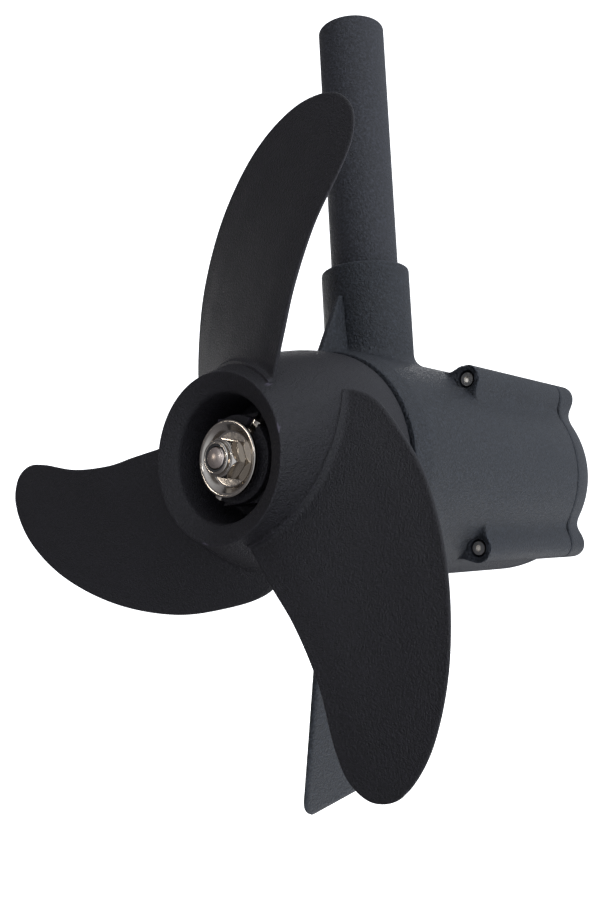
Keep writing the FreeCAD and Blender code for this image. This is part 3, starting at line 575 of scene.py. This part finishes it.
def blade_plan(rows, columns):
    """Radius and angle of each point of a blade's grid, from the root row to the tip row."""
    per_span = 24
    tip_stop = 0.985
    corners = [(-r * math.cos(math.radians(d)), r * math.sin(math.radians(d))) for r, d in BLADE_OUTLINE]
    outline = smooth_curve(corners, per_span)
    tip = BLADE_TIP * per_span
    rise = tip_stop * 0.5 * (1 - np.cos(np.linspace(0, math.pi, rows)))
    sides = []
    for edge in (outline[:tip + 1], outline[:tip - 1:-1]):
        y, z = along_curve(edge, rise).T
        sides.append((np.hypot(y, z), np.arctan2(z, -y)))
    s = np.linspace(0, 1, columns)
    across = s - 0.9 * np.sin(2 * math.pi * s) / (2 * math.pi)
    (r0, a0), (r1, a1) = sides
    radius = r0[:, None] + (r1 - r0)[:, None] * across
    angle = a0[:, None] + (a1 - a0)[:, None] * across
    root = radius[0]
    for _ in range(3):
        root = hub_radius(blade_height(root, angle[0])) - ROOT_DEPTH
    radius = radius + (root - radius[0]) * ((1 - rise) ** 4)[:, None]
    return radius, angle


def blade_shape(rows=110, columns=50, rim=0.9, fillet=1.5):
    """Points and faces of one blade: a thin curved plate with round edges and a flared root."""
    radius, angle = blade_plan(rows, columns)
    flat = np.stack([-radius * np.cos(angle), radius * np.sin(angle)], 2)
    border = np.concatenate([flat[:, 0], flat[-1, 1:], flat[::-1, -1][1:]])
    inset = curve_distance(flat.reshape(-1, 2), border).reshape(radius.shape)
    middle = blade_height(radius, angle)
    half = 0.5 * (3.7 - 1.6 * smooth_step((radius - 30.0) / 90.0))
    half = half * (0.55 + 0.45 * smooth_step(inset / 12.0))
    above = np.clip(radius - hub_radius(middle), 0.0, fillet)
    half = half + fillet - np.sqrt(fillet ** 2 - (fillet - above) ** 2)
    half = half * np.sqrt(1 - (1 - np.clip(inset / rim, 0.0, 1.0)) ** 2)
    count = rows * columns
    front = np.concatenate([(middle + half)[..., None], flat], 2).reshape(-1, 3)
    rear = np.concatenate([(middle - half)[..., None], flat], 2).reshape(-1, 3)
    name = np.arange(count).reshape(rows, columns)
    twin = name + count
    twin[:, 0], twin[:, -1], twin[-1] = name[:, 0], name[:, -1], name[-1]
    faces = []
    for i in range(rows - 1):
        for j in range(columns - 1):
            faces.append((name[i, j], name[i, j + 1], name[i + 1, j + 1], name[i + 1, j]))
            faces.append((twin[i, j], twin[i + 1, j], twin[i + 1, j + 1], twin[i, j + 1]))
    for j in range(columns - 1):
        faces.append(tuple(dict.fromkeys((name[0, j], twin[0, j], twin[0, j + 1], name[0, j + 1]))))
    used = np.unique(np.concatenate([name.ravel(), twin.ravel()]))
    place = np.zeros(2 * count, int)
    place[used] = np.arange(len(used))
    return np.concatenate([front, rear])[used], [tuple(place[list(f)]) for f in faces]


def turned_about_x(points, degrees):
    a = math.radians(degrees)
    x, y, z = np.asarray(points, float).T
    return np.stack([x, y * math.cos(a) - z * math.sin(a), y * math.sin(a) + z * math.cos(a)], 1)


def hub_outline():
    """Closed outline of the double-walled hub, as (x, radius) with a radius for each corner."""
    outer = [(x, float(hub_radius(x)), 0) for x in np.linspace(-42.0, -90.6, 18)]
    inner = [(x, float(hub_radius(x)) - HUB_WALL, 0) for x in np.linspace(-77.0, -43.0, 10)]
    lip = [(HUB_REAR, float(hub_radius(HUB_REAR)) + 0.1, 0.7), (-88.9, RECESS_R + 0.3, 1.5)]
    recess = [(RECESS_FLOOR, RECESS_R, 1.5), (RECESS_FLOOR, BOSS_R, 1.0), (BOSS_FACE, BOSS_R, 0.6),
              (BOSS_FACE, SHAFT_BORE_R, 0.2)]
    front = [(SLEEVE_FRONT, SHAFT_BORE_R, 0.2), (SLEEVE_FRONT, SLEEVE_R, 0.5), (WEB_FRONT, SLEEVE_R, 1.5),
             (WEB_FRONT, CORE_R, 1.5), (CORE_REAR, CORE_R, 1.0),
             (CORE_REAR, float(hub_radius(CORE_REAR)) - HUB_WALL, 1.0)]
    edge = [(HUB_FRONT, HUB_R - HUB_WALL, 0.5), (HUB_FRONT, HUB_R, 0.6)]
    return rounded(outer + lip + recess + front + inner + edge, 0.5)


def hub_rib(degrees):
    """Rib in the front of the hub, from the sleeve to the outer wall."""
    half = RIB_T / 2
    points, faces = box_shape(WEB_FRONT - 1.0, HUB_FRONT - 3.0, SLEEVE_R - 1.0, 39.0, -half, half, degrees)
    return new_object("hub_rib", points, faces)


def make_propeller():
    """Hub, blades, ribs and boss in one moulding, with the shaft's bore and the pin's slot."""
    ob = outward(new_object("propeller_moulding", *lathe(hub_outline(), 192)))
    points, faces = blade_shape()
    extras = [new_object("blade", turned_about_x(points, 360 / BLADES * i), faces) for i in range(BLADES)]
    extras += [hub_rib(30 + 60 * i) for i in range(6)]
    flats = box_shape(BOSS_FLAT_REAR, RECESS_FLOOR + 1, -BOSS_FLAT_Y, BOSS_FLAT_Y,
                      -BOSS_FLAT_Z, BOSS_FLAT_Z)
    extras.append(new_object("flats", *flats))
    combine(ob, extras, "UNION")
    bore = [(-90.0, 0.0), (-90.0, SHAFT_BORE_R), (-39.0, SHAFT_BORE_R), (-39.0, 0.0)]
    half = PIN_R + 0.1
    slot = box_shape(-90.0, PIN_X + half, -half, half, -PIN_SLOT_REACH, PIN_SLOT_REACH, PIN_TILT)
    combine(ob, [new_object("bore", *lathe(bore, 64)), new_object("slot", *slot)], "DIFFERENCE")
    return finish_piece(ob, "rotor", ["propeller"], MATERIALS["propeller_plastic"])


# ---------------------------------------------------------------- housing and nose cap

def ridge_distance(y, z):
    """Distance from the nearest of the four ridges' centre lines."""
    return np.hypot(np.abs(y) - LOBE_Y, np.abs(z) - LOBE_Z)


def skeg_field(x, y, z):
    """Fin below the pod, a little thinner at its foot, with rounded corners."""
    outline = np.array([(-31.0, -30.0), (-50.6, -121.5), (-25.5, -118.8), (1.0, -70.0), (36.0, -38.0)])
    flat = polygon_distance(x, z, outline) - 4.6
    half = 1.0 + 0.9 * smooth_step((z + 126.0) / 84.0)
    return smooth_max(flat, np.abs(y) - half, 1.6)


def make_gusset():
    """Wedge behind the collar: thin at its free edge, and proud of the collar where it meets it."""
    levels = [(69.5, -19.6, 0.9, 1.6), (43.0, -34.6, 1.1, 3.2)]
    points = []
    for z, free_x, thin, wide in levels:
        points += [(free_x, -thin, z), (-18.9, -wide, z), (-12.0, -wide + 0.9, z),
                   (-12.0, wide - 0.9, z), (-18.9, wide, z), (free_x, thin, z)]
    points = np.array(points)
    points[:6, 0] += np.array([0.0, 0.4, 0.4, 0.4, 0.4, 0.0])
    sides = [(i, (i + 1) % 6, (i + 1) % 6 + 6, i + 6) for i in range(6)]
    ob = outward(new_object("gusset", points, [tuple(range(6)), tuple(range(11, 5, -1))] + sides))
    modifier = ob.modifiers.new("edge", "BEVEL")
    modifier.width = 0.35 * MM
    modifier.segments = 2
    apply_modifiers(ob)
    return ob


def housing_field(x, y, z):
    """Pod with its four ridges, the screws' counterbores and reliefs, the collar and the skeg."""
    r = np.hypot(y, z)
    swell = np.clip((x - POD_REAR) / POD_TAPER, 0.0, 1.0)
    pod_r = POD_REAR_R + (POD_R - POD_REAR_R) * swell
    barrel = smooth_max(r - pod_r, POD_REAR - x, 0.8)
    barrel = smooth_max(barrel, x - SEAM_X, 1.2)
    ridge = smooth_min(r - POD_R, ridge_distance(y, z) - LOBE_R, 7.5)
    ridge = smooth_max(smooth_max(ridge, LOBE_REAR - x, 0.7), x - SEAM_X, 1.2)
    body = np.minimum(barrel, ridge)
    cone = ridge_distance(y, z) - 5.0 - (x - LOBE_REAR) * 0.8
    relief = np.maximum(cone, x - LOBE_REAR - 0.5)
    body = smooth_max(body, -relief, 0.4)
    counterbore = np.maximum(ridge_distance(y, z) - COUNTERBORE_R, x - LOBE_REAR - COUNTERBORE_DEPTH)
    counterbore = np.maximum(counterbore, LOBE_REAR - 8.0 - x)
    body = smooth_max(body, -counterbore, 0.5)
    collar = smooth_max(np.hypot(x, y) - COLLAR_R, z - COLLAR_TOP, 1.3)
    collar = np.maximum(collar, 20.0 - z)
    whole = smooth_min(body, collar, 4.2)
    return smooth_min(whole, skeg_field(x, y, z), 5.0)


def pod_cutters():
    """Hollow inside of the pod, mast socket, lead hole and screw holes."""
    bore = POD_R - WALL
    front = SEAM_X + 4.0
    seat_rear, seat_front, seat_r = REAR_SEAT
    seal_front, seal_r = SEAL_SEAT
    inside = [(-30.0, 19.0), (-30.0, bore - 3.0), (4.0, bore - 3.0), (4.0, bore), (front, bore),
              (front, 0.0), (seat_rear, 0.0), (seat_rear, seat_r), (seat_front, seat_r), (seat_front, 19.0)]
    seal = [(-40.0, 0.0), (-40.0, seal_r), (seal_front, seal_r), (seal_front, 7.5), (-22.0, 7.5),
            (-22.0, 0.0)]
    socket = [(30.0, 0.0), (30.0, LEAD_HOLE_R), (SPIGOT_FOOT, LEAD_HOLE_R), (SPIGOT_FOOT, SOCKET_R),
              (81.9, SOCKET_R), (83.2, 14.9), (86.0, 14.9), (86.0, 0.0)]
    hole = [(LOBE_REAR + 2.0, 0.0), (LOBE_REAR + 2.0, SCREW_HOLE_R), (front, SCREW_HOLE_R), (front, 0.0)]
    cutters = [new_object("inside", *lathe(inside, 96)), new_object("seal", *lathe(seal, 64)),
               new_object("socket", *lathe(socket, 96, "z"))]
    for y in (-LOBE_Y, LOBE_Y):
        for z in (-LOBE_Z, LOBE_Z):
            points, faces = lathe(hole, 24)
            cutters.append(new_object("hole", points + np.array([0.0, y, z]), faces))
    return cutters


def make_housing():
    """Painted casting: pod, ridges, collar, gusset and skeg, hollow inside."""
    points, quads = surface_net(housing_field, (-58, -47, -129), (98, 47, 85), 0.80)
    ob = new_object("housing_casting", points, quads)
    combine(ob, [make_gusset()], "UNION")
    combine(ob, pod_cutters(), "DIFFERENCE")
    return finish_piece(ob, "lower_unit", ["motor_housing"], MATERIALS["housing_paint"])


def dome_distance(x, r):
    """Near distance to the nose's ellipsoid."""
    u = np.clip(x - SEAM_X, 0.0, None) / NOSE_LENGTH
    v = r / POD_R
    k = np.sqrt(u * u + v * v)
    return (k - 1.0) * POD_R


def nose_field(x, y, z):
    """Dome with four lobes that carry on the pod's ridges and close in a ball."""
    r = np.hypot(y, z)
    dome = dome_distance(x, r)
    lobe = np.hypot(ridge_distance(y, z), np.clip(x - LOBE_END, 0.0, None)) - LOBE_R
    whole = smooth_min(dome, lobe, 9.0)
    return smooth_max(whole, SEAM_X + 0.45 - x, 1.3)


def make_nose_cap():
    """Front cover with its register, bearing cup and four ribs."""
    points, quads = surface_net(nose_field, (93, -47, -47), (145, 47, 47), 0.80)
    ob = new_object("nose_dome", points, quads)
    u = np.linspace(0, math.pi / 2, 16)
    depth, bore = NOSE_LENGTH - WALL, POD_R - WALL
    hollow = [(SEAM_X + depth * math.sin(a), bore * math.cos(a)) for a in u]
    hollow = [(SEAM_X - 4.0, 0.0), (SEAM_X - 4.0, bore)] + hollow
    combine(ob, [new_object("hollow", *lathe(hollow, 96))], "DIFFERENCE")
    seat_rear, seat_front, seat_r = FRONT_SEAT
    cup = [(seat_rear, seat_r), (seat_rear, CUP_R), (CUP_FRONT, CUP_R), (CUP_FRONT, 5.5), (seat_front, 5.5),
           (seat_front, seat_r)]
    register = [(REGISTER_REAR, REGISTER_BORE_R), (REGISTER_REAR, REGISTER_R), (90.4, REGISTER_R),
                (90.4, 39.4), (92.6, 39.4), (92.6, REGISTER_R), (95.6, REGISTER_R), (99.0, 42.0),
                (99.0, REGISTER_BORE_R)]
    inner = [outward(new_object("cup", *lathe(cup, 64))),
             outward(new_object("register", *lathe(register, 96)))]
    for i in range(4):
        points, faces = box_shape(102.0, 114.0, 15.5, 37.5, -RIB_T / 2, RIB_T / 2, 45 + 90 * i)
        inner.append(outward(new_object("rib", points, faces)))
    joined(ob, inner)
    return finish_piece(ob, "lower_unit", ["nose_cap"], MATERIALS["housing_paint"])


def make_mast():
    """Tube with a softened upper edge and the spigot that goes into the collar."""
    groove_r = SPIGOT_R - 1.2
    outline = rounded([(MAST_TOP, MAST_BORE_R), (MAST_TOP, MAST_R), (COLLAR_TOP, MAST_R, 0.2),
                       (COLLAR_TOP, SPIGOT_R, 0.1), (GROOVE_TOP, SPIGOT_R, 0.1),
                       (GROOVE_TOP, groove_r, 0.1), (GROOVE_FOOT, groove_r, 0.1),
                       (GROOVE_FOOT, SPIGOT_R, 0.1), (SPIGOT_FOOT, SPIGOT_R),
                       (SPIGOT_FOOT, MAST_BORE_R)], 0.5)
    ob = outward(new_object("mast", *lathe(outline, 160, "z")))
    return finish_piece(ob, "lower_unit", ["mast_tube"], MATERIALS["mast_composite"])


# ---------------------------------------------------------------- shaft, washer and nut

def make_shaft():
    """Stepped shaft whose tail carries a real spiral thread."""
    segments = 96
    steps = [(SHAFT_END, 0.0), (SHAFT_END + 0.05, 0.9), (SHAFT_END + 0.2, 1.8), (SHAFT_END + 0.45, 2.6),
             (SHAFT_END + 0.8, 3.3)]
    thread = np.arange(SHAFT_END + 0.9, THREAD_TOP + 1.0, THREAD_PITCH / 12)
    steps += [(x, None) for x in thread]
    clip_rear, clip_front = CLIP_GROOVE
    steps += [(BOSS_FACE, THREAD_R), (BOSS_FACE, SHAFT_TAIL_R), (SHAFT_SHOULDER, SHAFT_TAIL_R),
              (SHAFT_SHOULDER, SHAFT_R), (clip_rear, SHAFT_R), (clip_rear, SHAFT_R - 0.5),
              (clip_front, SHAFT_R - 0.5), (clip_front, SHAFT_R), (100.0, SHAFT_R), (100.0, SHAFT_TAIL_R),
              (SHAFT_FRONT - 0.5, SHAFT_TAIL_R), (SHAFT_FRONT, SHAFT_TAIL_R - 0.5), (SHAFT_FRONT, 0.0)]
    points, faces = lathe([(x, THREAD_R if r is None else r) for x, r in steps], segments, closed=False)
    x, y, z = points.T
    spiral = np.mod(x / THREAD_PITCH + np.arctan2(z, y) / (2 * math.pi), 1.0)
    groove = 0.62 * (1.0 - np.abs(2.0 * spiral - 1.0)) ** 0.8
    fade = smooth_step((x - SHAFT_END - 0.6) / 1.2)
    on_thread = (x > thread[0] - 0.01) & (x < thread[-1] + 0.01)
    factor = np.where(on_thread, (THREAD_R - groove * fade - 0.5 * (1 - fade)) / THREAD_R, 1.0)
    points = np.stack([x, y * factor, z * factor], 1)
    ob = outward(new_object("shaft", points, faces))
    return finish_piece(ob, "rotor", ["motor_shaft"], MATERIALS["stainless_shaft"])


def make_washer():
    """Dished washer with a polished floor and a rolled rim."""
    bore = THREAD_R + 0.2
    outline = rounded([(WASHER_FRONT, bore, 0.1), (WASHER_FRONT, WASHER_FLOOR_R + 0.8, 0.8),
                       (WASHER_RIM + 1.7, WASHER_R, 0.6), (WASHER_RIM, WASHER_R, 0.7),
                       (WASHER_RIM, WASHER_R - 1.3, 0.6), (WASHER_FLOOR, WASHER_FLOOR_R, 0.5),
                       (WASHER_FLOOR, bore, 0.1)], 0.5, 6)
    ob = outward(new_object("dished_washer", *lathe(outline, 160)))
    polished = MATERIALS["stainless_polished"]
    return finish_piece(ob, "rotor", ["prop_washer"], polished, crease=50.0)


def nut_field(x, y, z):
    """Hexagon with domed corners and the round collar that holds the nylon ring."""
    r = np.hypot(y, z)
    flats = 0.0
    for i in range(3):
        a = math.radians(NUT_TURN + 60 * i)
        flats = np.maximum(flats, np.abs(y * math.cos(a) + z * math.sin(a)))
    flats = flats - NUT_AF / 2
    body = smooth_max(flats, np.maximum(x - NUT_FRONT, NUT_REAR - x), 0.2)
    body = smooth_max(body, (r - NUT_AF / 2) * 0.87 - (x - NUT_REAR) * 0.5, 0.15)
    body = smooth_max(body, (r - NUT_AF / 2 - 0.3) * 0.87 - (NUT_FRONT - x) * 0.5, 0.15)
    collar = smooth_max(r - NUT_COLLAR_R, NUT_END - x, 0.9)
    collar = np.maximum(collar, x - NUT_REAR - 0.5)
    whole = smooth_min(body, collar, 0.4)
    bore = 4.15 + 0.65 * smooth_step((NUT_END + 0.9 - x) / 0.2)
    return np.maximum(whole, bore - r)


def make_nut():
    """Locking nut with its collar."""
    points, quads = surface_net(nut_field, (-94, -8.2, -8.2), (-83, 8.2, 8.2), 0.2)
    ob = new_object("lock_nut", points, quads)
    polished = MATERIALS["stainless_polished"]
    return finish_piece(ob, "rotor", ["prop_nut"], polished, crease=25.0)


# ---------------------------------------------------------------- stage

CAMERA_PLACE = (-0.31499, -0.22728, AXIS_Z - 0.03532)
CAMERA_FORWARD = (0.7624, 0.6379, 0.1084)
CAMERA_DOWN = (0.0507, 0.1081, -0.9929)
CAMERA_LENS = 37.32
LIGHT_SIDE = Vector((0.08, -0.92, 0.20)).normalized()


def add_camera():
    camera = bpy.data.objects.new("camera", bpy.data.cameras.new("camera"))
    camera.data.lens = CAMERA_LENS
    camera.data.sensor_width = 36.0
    camera.data.clip_start = 0.01
    forward = Vector(CAMERA_FORWARD).normalized()
    right = Vector(CAMERA_DOWN).cross(forward).normalized()
    up = right.cross(forward)
    turn = Matrix((right, up, -forward)).transposed()
    camera.matrix_world = Matrix.Translation(CAMERA_PLACE) @ turn.to_4x4()
    bpy.context.scene.collection.objects.link(camera)
    bpy.context.scene.camera = camera


def add_area(name, place, target, size, power, color=(1.0, 1.0, 1.0)):
    light = bpy.data.lights.new(name, "AREA")
    light.shape = "RECTANGLE"
    light.size, light.size_y = size
    light.energy = power
    light.color = color
    ob = bpy.data.objects.new(name, light)
    direction = Vector(target) - Vector(place)
    ob.matrix_world = Matrix.Translation(place) @ direction.to_track_quat("-Z", "Y").to_matrix().to_4x4()
    bpy.context.scene.collection.objects.link(ob)


def camera_only(ob):
    """Let the camera see a backdrop piece, and keep it from lighting or shading the object."""
    ob.visible_diffuse = False
    ob.visible_glossy = False
    ob.visible_transmission = False
    ob.visible_shadow = False


def pale_material(name):
    """Even, bright white for the backdrop."""
    s = Shader(name, (0.9, 0.9, 0.9), 0.7)
    s.main.inputs["Emission Color"].default_value = (1.0, 1.0, 1.0, 1.0)
    s.main.inputs["Emission Strength"].default_value = 1.2
    return s.material


def add_floor():
    """Pale floor under the part and a pale dome round it."""
    size = 6.0
    half = size / MM
    drop = (cad_low.z - AXIS_Z) / MM - 40.0
    corners = [(-half, -half, drop), (half, -half, drop), (half, half, drop), (-half, half, drop)]
    floor = new_object("floor", corners, [(0, 1, 2, 3)])
    floor.data.materials.append(pale_material("floor_pale"))
    camera_only(floor)
    bpy.ops.mesh.primitive_ico_sphere_add(subdivisions=4, radius=size)
    dome = bpy.context.object
    dome.name = "dome"
    dome.data.materials.append(pale_material("dome_pale"))
    camera_only(dome)


def add_world():
    """Soft light that is bright from starboard and above and dim from port, aft and below."""
    world = bpy.data.worlds.new("studio")
    world.use_nodes = True
    tree = world.node_tree
    place = tree.nodes.new("ShaderNodeTexCoord")
    towards = tree.nodes.new("ShaderNodeVectorMath")
    towards.operation = "DOT_PRODUCT"
    towards.inputs[1].default_value = LIGHT_SIDE
    ramp = tree.nodes.new("ShaderNodeValToRGB")
    spread = tree.nodes.new("ShaderNodeMapRange")
    spread.inputs["From Min"].default_value = -1.0
    stops = [(0.0, (0.09, 0.09, 0.10)), (0.35, (0.20, 0.20, 0.22)), (0.60, (0.52, 0.55, 0.60)),
             (1.0, (0.98, 1.04, 1.16))]
    ramp.color_ramp.elements.remove(ramp.color_ramp.elements[0])
    for i, (position, color) in enumerate(stops):
        element = ramp.color_ramp.elements[0] if i == 0 else ramp.color_ramp.elements.new(position)
        element.position = position
        element.color = (*color, 1.0)
    tree.links.new(place.outputs["Generated"], towards.inputs[0])
    tree.links.new(towards.outputs["Value"], spread.inputs["Value"])
    tree.links.new(spread.outputs["Result"], ramp.inputs["Fac"])
    tree.links.new(ramp.outputs["Color"], tree.nodes["Background"].inputs["Color"])
    tree.nodes["Background"].inputs["Strength"].default_value = 1.0
    bpy.context.scene.world = world
    bpy.context.scene.view_settings.view_transform = "Standard"


def add_stage():
    centre = (0.0, 0.0, AXIS_Z)
    add_world()
    add_floor()
    add_area("key", (0.15, -0.95, AXIS_Z + 0.25), centre, (0.35, 0.35), 0.9, (0.94, 0.98, 1.0))
    add_area("under", (0.30, -0.35, AXIS_Z - 0.80), centre, (0.5, 0.5), 2.2)
    add_area("top", (-0.1, -0.1, AXIS_Z + 0.9), centre, (0.4, 0.4), 0.5)
    add_area("rim", (0.90, 0.75, AXIS_Z + 0.30), centre, (0.8, 0.8), 4.5)
    add_area("low", (0.80, -0.15, AXIS_Z - 0.60), centre, (0.5, 0.5), 1.0)
    add_area("port", (0.25, 1.10, AXIS_Z + 0.10), centre, (0.6, 0.6), 1.8)
    add_area("front_fill", (-0.55, -0.85, AXIS_Z + 0.25), centre, (0.4, 0.4), 0.5)
    add_area("glint_port", (-0.74, 0.55, AXIS_Z + 0.15), centre, (0.07, 0.07), 0.22, (1.0, 0.93, 0.85))
    add_area("glint_aft", (-0.95, -0.10, AXIS_Z + 0.22), centre, (0.06, 0.10), 0.3)
    add_camera()


# ---------------------------------------------------------------- assembly

make_propeller()
make_housing()
make_nose_cap()
make_mast()
make_shaft()
make_washer()
make_nut()

slots = {row["node"]: row["material_slot"] for row in frame["record"]["subparts"]}
for name, ob in frame["nodes"].items():
    ob.data.materials.clear()
    ob.data.materials.append(MATERIALS[slots[name]])

add_stage()
